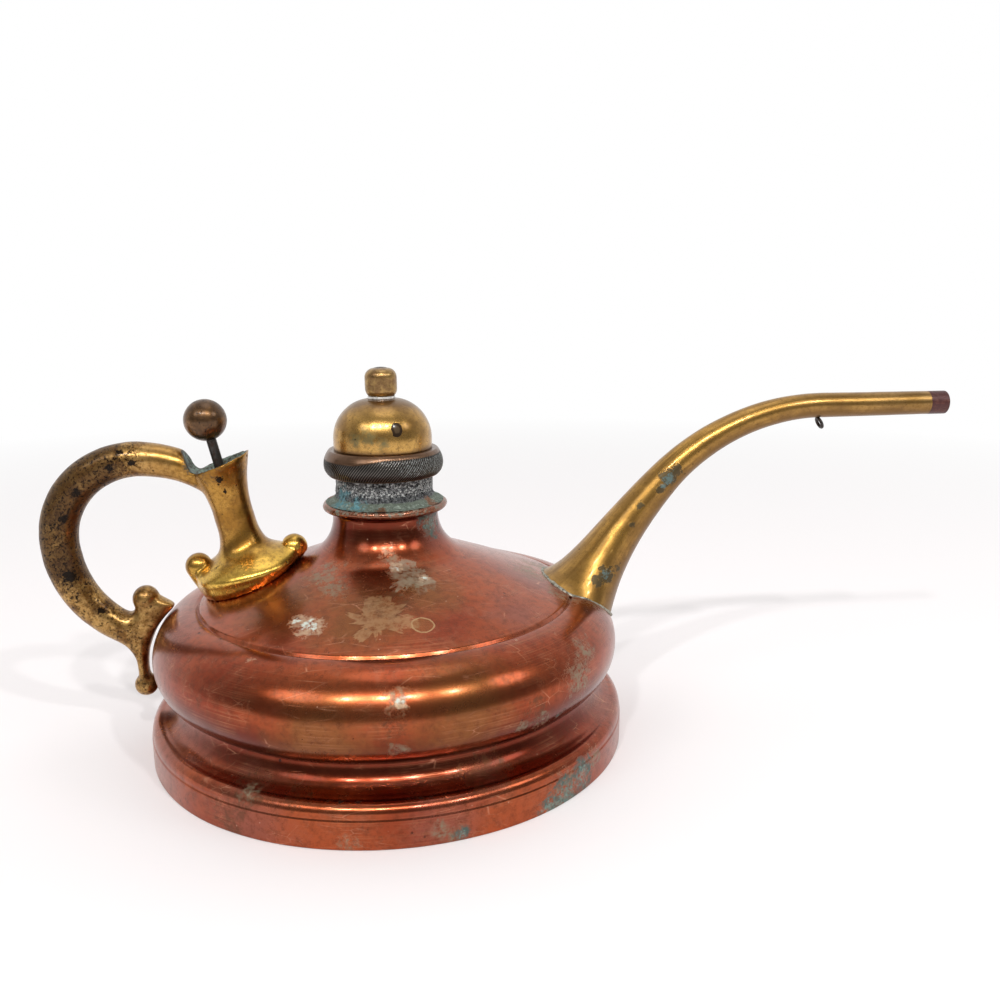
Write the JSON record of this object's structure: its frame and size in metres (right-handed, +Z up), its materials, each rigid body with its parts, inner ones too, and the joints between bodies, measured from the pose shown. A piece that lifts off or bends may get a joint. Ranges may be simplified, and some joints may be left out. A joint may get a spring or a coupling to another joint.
{
  "type": "lamp filler",
  "caption": "Squat round can for filling lamps, with a stepped foot, a screw-capped neck, a long curved pouring spout and a looped handle with a sprung thumb valve.",
  "frame": {"origin": "middle of the foot ring, on the surface the filler stands on", "axes": "+Z up the can's axis, +X from the handle towards the spout's tip, +Y across"},
  "size_m": [0.2324, 0.12, 0.0942],
  "materials": {
    "spun_copper": "spun copper, semi-gloss, browned and spotted",
    "cast_brass": "cast brass, satin, pitted with age",
    "spun_brass": "spun or turned brass, satin, aged",
    "dark_bronze": "dark bronze, worn satin",
    "grey_metal": "dull grey oxidised metal, rough",
    "bright_metal": "bright tinned metal",
    "steel_wire": "dark steel",
    "red_ferrule": "dull maroon copper",
    "leather": "oiled leather"
  },
  "bodies": {
    "can": {"body_shell": "spun_copper", "base_shell": "spun_copper", "bottom_plate": "spun_copper", "neck_collar": "grey_metal", "spout": "cast_brass", "spout_ferrule": "red_ferrule", "chain_eyelet": "steel_wire", "handle": "cast_brass", "guide_bush": "spun_brass", "valve_seat": "spun_brass", "valve_spring": "steel_wire"},
    "cap_washer": {"cap_gasket": "leather"},
    "cap": {"cap_ring": "grey_metal", "cap_dome": "spun_brass", "finial_washer": "bright_metal", "finial": "spun_brass", "finial_nut": "spun_brass"},
    "plunger": {"push_rod": "steel_wire", "rod_stop": "spun_brass", "stop_pin": "steel_wire", "valve_leather": "leather", "valve_disc": "spun_brass", "valve_nut": "spun_brass", "thumb_ball": "dark_bronze"}
  },
  "joints": [
    {"name": "cap_lift", "type": "slide", "parent": "can", "child": "cap_washer", "axis": [0, 0, 1], "range_m": [0, 0.0045]},
    {"name": "cap_turn", "type": "hinge", "parent": "cap_washer", "child": "cap", "pos_m": [0, 0, 0.07], "axis": [0, 0, 1], "range_deg": [0, 1080]},
    {"name": "thumb_press", "type": "slide", "parent": "can", "child": "plunger", "axis": [0.2164, 0, -0.9763], "range_m": [0, 0.004], "stiffness_N_per_m": 400, "springref_m": -0.003, "deforming": ["valve_spring"]}
  ],
  "couplings": [
    {"joint": "cap_lift", "follows": "cap_turn", "m_per_rad": 0.00023873}
  ]
}
